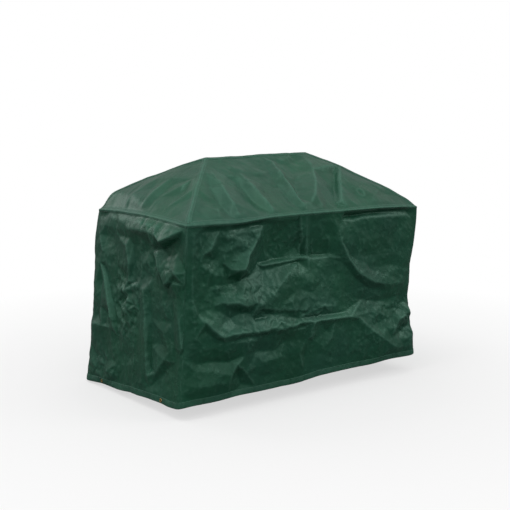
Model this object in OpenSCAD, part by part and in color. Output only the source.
// Hip-roofed barbecue cover: a sewn sheet cover with a hipped top, four hanging
// skirts, folded hems and brass eyelets in the two end hems.
// Frame: millimetres, +Z up, front faces -Y, right end is +X.
// Origin: centre of the rectangle the lower hem edge lies in, so the hem rests on z = 0.

/* [Overall] */
// Width of the cover along the eave, end to end
cover_w = 1220; // [800:10:1800]
// Depth of the cover along the eave, front to back
cover_d = 710; // [500:10:900]
// Drop of the skirt, from the eave seam to the lower hem edge
skirt_h = 710; // [450:10:1000]
// Rise of the hipped top above the eave seam
roof_h = 215; // [120:5:320]
// Length of the ridge seam
ridge_l = 540; // [260:10:700]
// How far the hem stands out from the eave on each side
flare = 26; // [0:1:40]

/* [Sheet] */
// Thickness each single sheet is drawn at
sheet_t = 1.2; // [0.6:0.1:2]
// Gap left between neighbouring cut edges of sheet under a seam
edge_gap = 2; // [1:0.5:4]

/* [Seams] */
// Width of one side of a felled roof seam
seam_w = 12; // [8:1:20]
// Thickness of a felled seam
seam_t = 1.6; // [0.8:0.1:2.5]
// Width of the eave seam on the top panels
eave_up = 14; // [8:1:24]
// Width of the eave seam on the skirt
eave_down = 9; // [6:1:16]
// How far each corner piece of the skirt reaches along either side
corner_w = 16; // [10:1:30]
// Width of a thread line
thread_w = 0.8; // [0.5:0.1:1.5]

/* [Hem] */
// Height of the folded hem
hem_h = 26; // [24:1:50]
// Thickness of one layer of the fold
hem_layer = 0.9; // [0.5:0.1:1.5]
// How far the skirt sheet is tucked into the fold
tuck = 6; // [3:0.5:6]
// Running clearance at the flexing edges of a skirt
flex_gap = 1.5; // [1:0.5:4]

/* [Eyelets] */
// Radius of the eyelet bore
eyelet_r = 4.5; // [3:0.25:6]
// Radius of the eyelet flange and its washer
flange_r = 8.25; // [7:0.25:10]
// Distance of each eyelet from the middle of its end hem
eyelet_off = 220; // [60:5:300]
// Height of the eyelet centre above the hem edge
eyelet_z = 12; // [10.5:0.5:14]

/* [Hidden] */

sheet_green = [0.13, 0.27, 0.20];
seam_green = [0.19, 0.36, 0.28];
thread_green = [0.10, 0.20, 0.15];
brass = [0.72, 0.58, 0.28];

// Sides in order. Each is drawn as the front and turned into place.
FRONT = 0;
RIGHT = 1;
BACK = 2;
LEFT = 3;

ridge_half = ridge_l / 2;
skirt_slant = norm([flare, skirt_h]);
skirt_lean = atan2(flare, skirt_h);       // from upright
skirt_lap = 3;                            // skirt sheet reaching up under the eave seam
skirt_top = skirt_slant - eave_down + skirt_lap;

seam_air = 0.15;                          // between a seam and the sheet under it
relief = 0.3;                             // step where two folded faces meet at an edge
cut_gap = 0.5;                            // extra gap at a lower cut edge
panel_tip = 1;                            // half width of an end panel at its top
eave_inset = 2;                           // eave seam in from the side's ends

// Ends of the hip seams, as fractions of the way from eave to ridge. They stay clear of the
// eave and ridge seams, and of the middle of the end panels.
hip_gap = 3;
hip_mid_gap = 2;
hip_low = (eave_up + hip_gap) / min(roof_slant(FRONT), roof_slant(RIGHT));
hip_high = min(1 - (seam_w + hip_gap) / roof_slant(FRONT),
               1 - (seam_w * edge_stretch(RIGHT) + hip_mid_gap) / half_w(RIGHT));

// Thread lines
thread_t = 0.4;
thread_lift = 0.05;                       // above the face it is sewn through
seam_thread_z = seam_air + seam_t + thread_lift;
thread_inset = 4;                         // ridge and eave threads in from their ends
eave_up_thread = 5;                       // in from the eave seam's upper edge
eave_down_thread = 3;                     // in from the eave seam's lower edge
hem_thread = 3;                           // down from the hem's upper edge
hem_thread_inset = 1;                     // in from the hem's ends

// Folded hem
hem_air = 0.1;                            // on each face of the tucked sheet
hem_t = 2 * hem_layer + sheet_t + 2 * hem_air;
flap_inset = corner_w + flex_gap;         // skirt panel and hem in from the corner
fold_h = 1.2;                             // solid height at the bottom of the fold
pocket_over = [5, 1];                     // pocket cut past the hem's ends and upper edge

// Eyelets, with sizes outward from the bore
barrel_r = eyelet_r + 0.75;
eyelet_hole_r = barrel_r + 0.2;           // hole in the hem
washer_hole_r = barrel_r + 0.1;
washer_t = 0.7;
eyelet_air = 0.05;                        // between flange, hem, washer and rolled end
roll_r = 0.65;                            // section of the barrel's rolled inner end
roll_ring_r = eyelet_r + 1.35;
washer_z = -hem_t - eyelet_air - washer_t;
roll_z = washer_z - eyelet_air - roll_r;
// Section of the outer flange: [radius, height above the hem's outer face]
flange_section = [
    [eyelet_r + 0.3, eyelet_air], [flange_r - 0.3, eyelet_air], [flange_r, 0.35],
    [flange_r - 0.6, 0.85], [eyelet_r + 1.4, 1.15], [eyelet_r + 0.3, 0.9]];

// ---- sides ----
function is_long(side) = side % 2 == 0;
// The side met at one end of another; end is -1 or 1 along the side's own x.
function neighbour(side, end) = (side + end + 4) % 4;
// Half length of the eave, and its distance from the middle
function half_w(side) = (is_long(side) ? cover_w : cover_d) / 2;
function half_d(side) = (is_long(side) ? cover_d : cover_w) / 2;
// Half length of the top panel's upper edge
function top_half(side) = is_long(side) ? ridge_half : 0;
// Level distance from the eave to the top panel's upper edge
function run(side) = half_d(side) - (is_long(side) ? 0 : ridge_half);
function roof_slant(side) = norm([run(side), roof_h]);
function roof_pitch(side) = atan2(roof_h, run(side));
// Stretch of a distance measured square to the sloping side edge, read along the eave
function edge_stretch(side) =
    norm([roof_slant(side), half_w(side) - top_half(side)]) / roof_slant(side);

// Half width of a top panel at slant height y, drawn in by inset square to its hip edge
function roof_x(side, y, inset) =
    half_w(side) - (half_w(side) - top_half(side)) * y / roof_slant(side)
    - inset * edge_stretch(side);
// Half width of a skirt at slant height y, drawn in by inset from its corner
function skirt_x(side, y, inset) = half_w(side) + flare * (1 - y / skirt_slant) - inset;

// Trapezium between heights y0 and y1, with half widths x0 and x1
function trapezium(y0, y1, x0, x1) = [[-x0, y0], [x0, y0], [x1, y1], [-x1, y1]];
function roof_band(side, y0, y1, inset) =
    trapezium(y0, y1, roof_x(side, y0, inset), roof_x(side, y1, inset));
function skirt_band(side, y0, y1, inset) =
    trapezium(y0, y1, skirt_x(side, y0, inset), skirt_x(side, y1, inset));

// How far a seam's face runs past an edge to meet its other half over the fold
function seam_over(half_fold) = (seam_air + seam_t) * tan(half_fold) - relief;

// Children drawn in a side's sloping outer plane: x along the side, y up the slant, z outward.
module side_frame(side, distance, height, tilt)
    rotate([0, 0, 90 * side])
        translate([0, -distance, height])
            rotate([tilt, 0, 0])
                children();

module skirt_frame(side)
    side_frame(side, half_d(side) + flare, 0, 90 - skirt_lean) children();

// Slabs lying on a side, from base above its outer face and thick outward
module roof_slab(side, outline, base, thick)
    side_frame(side, half_d(side), skirt_h, roof_pitch(side))
        translate([0, 0, base]) linear_extrude(thick) polygon(outline);

module skirt_slab(side, outline, base, thick)
    skirt_frame(side) translate([0, 0, base]) linear_extrude(thick) polygon(outline);

// ---- top ----
module roof_panel(side) {
    // The end panels stop where they have narrowed to their tip.
    top = is_long(side)
        ? roof_slant(side) - edge_gap
        : roof_slant(side) * (1 - (edge_gap * edge_stretch(side) + panel_tip) / half_w(side));
    color(sheet_green)
        roof_slab(side, roof_band(side, edge_gap + cut_gap, top, edge_gap), -sheet_t, sheet_t);
}

// Strip down one hip edge of a top panel, between two distances in from the edge
module hip_strip(side, end, outer, inner, base, thick) {
    y0 = hip_low * roof_slant(side);
    y1 = hip_high * roof_slant(side);
    outline = [[end * roof_x(side, y0, outer), y0], [end * roof_x(side, y1, outer), y1],
               [end * roof_x(side, y1, inner), y1], [end * roof_x(side, y0, inner), y0]];
    roof_slab(side, outline, base, thick);
}

module hip_seam(side, end) {
    // Half the angle between the outward faces of two neighbouring top panels
    half_fold = acos(cos(roof_pitch(FRONT)) * cos(roof_pitch(RIGHT))) / 2;
    over = seam_over(half_fold);
    color(seam_green) union() {
        hip_strip(side, end, -over, seam_w, seam_air, seam_t);
        hip_strip(neighbour(side, end), -end, -over, seam_w, seam_air, seam_t);
    }
}

module ridge_seam() {
    slant = roof_slant(FRONT);
    over = seam_over(roof_pitch(FRONT));
    color(seam_green) union()
        for (side = [FRONT, BACK])
            roof_slab(side, trapezium(slant - seam_w, slant + over, ridge_half, ridge_half),
                      seam_air, seam_t);
}

module eave_seam(side) {
    over = seam_over((90 - roof_pitch(side) + skirt_lean) / 2);
    color(seam_green) union() {
        roof_slab(side, roof_band(side, -over, eave_up, eave_inset), seam_air, seam_t);
        skirt_slab(side,
                   skirt_band(side, skirt_slant - eave_down, skirt_slant + over, eave_inset),
                   seam_air, seam_t);
    }
}

module top_stitching() {
    ridge_y = roof_slant(FRONT) - seam_w / 2;
    ridge_x = ridge_half - thread_inset;
    up_y = eave_up - eave_up_thread;
    down_y = skirt_slant - eave_down + eave_down_thread;
    color(thread_green) {
        for (side = [FRONT, BACK])
            roof_slab(side, trapezium(ridge_y - thread_w, ridge_y, ridge_x, ridge_x),
                      seam_thread_z, thread_t);
        for (side = [FRONT:LEFT]) {
            for (end = [-1, 1])
                hip_strip(side, end, seam_w / 2, seam_w / 2 + thread_w, seam_thread_z, thread_t);
            roof_slab(side, roof_band(side, up_y, up_y + thread_w, thread_inset),
                      seam_thread_z, thread_t);
            skirt_slab(side, skirt_band(side, down_y, down_y + thread_w, thread_inset),
                       seam_thread_z, thread_t);
        }
    }
}

// ---- corners ----
// Strip of a skirt beside its corner, from slant height y0 to y1, thick inward
module corner_strip(side, end, y0, y1, thick)
    skirt_slab(side, [[end * skirt_x(side, y0, relief), y0],
                      [end * skirt_x(side, y1, relief), y1],
                      [end * skirt_x(side, y1, corner_w), y1],
                      [end * skirt_x(side, y0, corner_w), y0]], -thick, thick);

// The strips of both sides that meet at a corner
module corner_piece(side, end, y0, y1, thick)
    union() {
        corner_strip(side, end, y0, y1, thick);
        corner_strip(neighbour(side, end), -end, y0, y1, thick);
    }

module skirt_corner(side, end)
    color(sheet_green) corner_piece(side, end, hem_h + cut_gap, skirt_top, sheet_t);

module hem_corner(side, end)
    color(seam_green) corner_piece(side, end, 0, hem_h, hem_t);

// ---- hanging skirts ----
module skirt_panel(side)
    color(sheet_green)
        skirt_slab(side, skirt_band(side, hem_h - tuck, skirt_top, flap_inset),
                   -hem_layer - hem_air - sheet_t, sheet_t);

// The folded hem: outer leg, inner leg and the fold at the bottom, square to the slant
module hem(side) {
    cut = 1;
    pocket = skirt_band(side, fold_h, hem_h + pocket_over.y, flap_inset - pocket_over.x);
    color(seam_green) difference() {
        skirt_slab(side, skirt_band(side, 0, hem_h, flap_inset), -hem_t, hem_t);
        skirt_slab(side, pocket, -hem_t + hem_layer, hem_t - 2 * hem_layer);
        if (!is_long(side))
            for (end = [-1, 1])
                at_eyelet(side, end, -hem_t - cut)
                    cylinder(r = eyelet_hole_r, h = hem_t + 2 * cut, $fn = 48);
    }
}

// One thread line on each face of the hem
module hem_stitching(side) {
    y = hem_h - hem_thread;
    color(thread_green)
        for (base = [thread_lift, -hem_t - thread_lift - thread_t])
            skirt_slab(side, skirt_band(side, y, y + thread_w, flap_inset + hem_thread_inset),
                       base, thread_t);
}

// ---- eyelets ----
// Children on an eyelet's axis, at z from the hem's outer face
module at_eyelet(side, end, z = 0)
    skirt_frame(side) translate([end * eyelet_off, eyelet_z, z]) children();

module eyelet(side, end) {
    cut = 4;
    color(brass) at_eyelet(side, end)
        difference() {
            union() {
                translate([0, 0, roll_z])
                    cylinder(r = barrel_r, h = eyelet_air - roll_z, $fn = 64);
                rotate_extrude($fn = 64) polygon(flange_section);
                translate([0, 0, roll_z])
                    rotate_extrude($fn = 64)
                        translate([roll_ring_r, 0]) circle(r = roll_r, $fn = 24);
            }
            translate([0, 0, -hem_t - cut]) cylinder(r = eyelet_r, h = hem_t + 2 * cut, $fn = 64);
        }
}

module eyelet_washer(side, end)
    color(brass) at_eyelet(side, end, washer_z)
        difference() {
            cylinder(r = flange_r, h = washer_t, $fn = 64);
            translate([0, 0, -1]) cylinder(r = washer_hole_r, h = 3, $fn = 64);
        }

roof_panel(FRONT);  // roof_front_panel
roof_panel(BACK);  // roof_back_panel
roof_panel(LEFT);  // roof_left_panel
roof_panel(RIGHT);  // roof_right_panel
ridge_seam();
hip_seam(FRONT, -1);  // hip_seam_front_left
hip_seam(FRONT, 1);  // hip_seam_front_right
hip_seam(BACK, 1);  // hip_seam_back_left
hip_seam(BACK, -1);  // hip_seam_back_right
eave_seam(FRONT);  // eave_seam_front
eave_seam(BACK);  // eave_seam_back
eave_seam(LEFT);  // eave_seam_left
eave_seam(RIGHT);  // eave_seam_right
skirt_corner(FRONT, -1);  // skirt_corner_front_left
skirt_corner(FRONT, 1);  // skirt_corner_front_right
skirt_corner(BACK, 1);  // skirt_corner_back_left
skirt_corner(BACK, -1);  // skirt_corner_back_right
hem_corner(FRONT, -1);  // hem_corner_front_left
hem_corner(FRONT, 1);  // hem_corner_front_right
hem_corner(BACK, 1);  // hem_corner_back_left
hem_corner(BACK, -1);  // hem_corner_back_right
top_stitching();
skirt_panel(FRONT);  // front_skirt_panel
hem(FRONT);  // front_hem
hem_stitching(FRONT);  // front_hem_stitching
skirt_panel(BACK);  // back_skirt_panel
hem(BACK);  // back_hem
hem_stitching(BACK);  // back_hem_stitching
skirt_panel(LEFT);  // left_skirt_panel
hem(LEFT);  // left_hem
hem_stitching(LEFT);  // left_hem_stitching
eyelet(LEFT, 1);  // left_front_eyelet
eyelet_washer(LEFT, 1);  // left_front_eyelet_washer
eyelet(LEFT, -1);  // left_back_eyelet
eyelet_washer(LEFT, -1);  // left_back_eyelet_washer
skirt_panel(RIGHT);  // right_skirt_panel
hem(RIGHT);  // right_hem
hem_stitching(RIGHT);  // right_hem_stitching
eyelet(RIGHT, -1);  // right_front_eyelet
eyelet_washer(RIGHT, -1);  // right_front_eyelet_washer
eyelet(RIGHT, 1);  // right_back_eyelet
eyelet_washer(RIGHT, 1);  // right_back_eyelet_washer
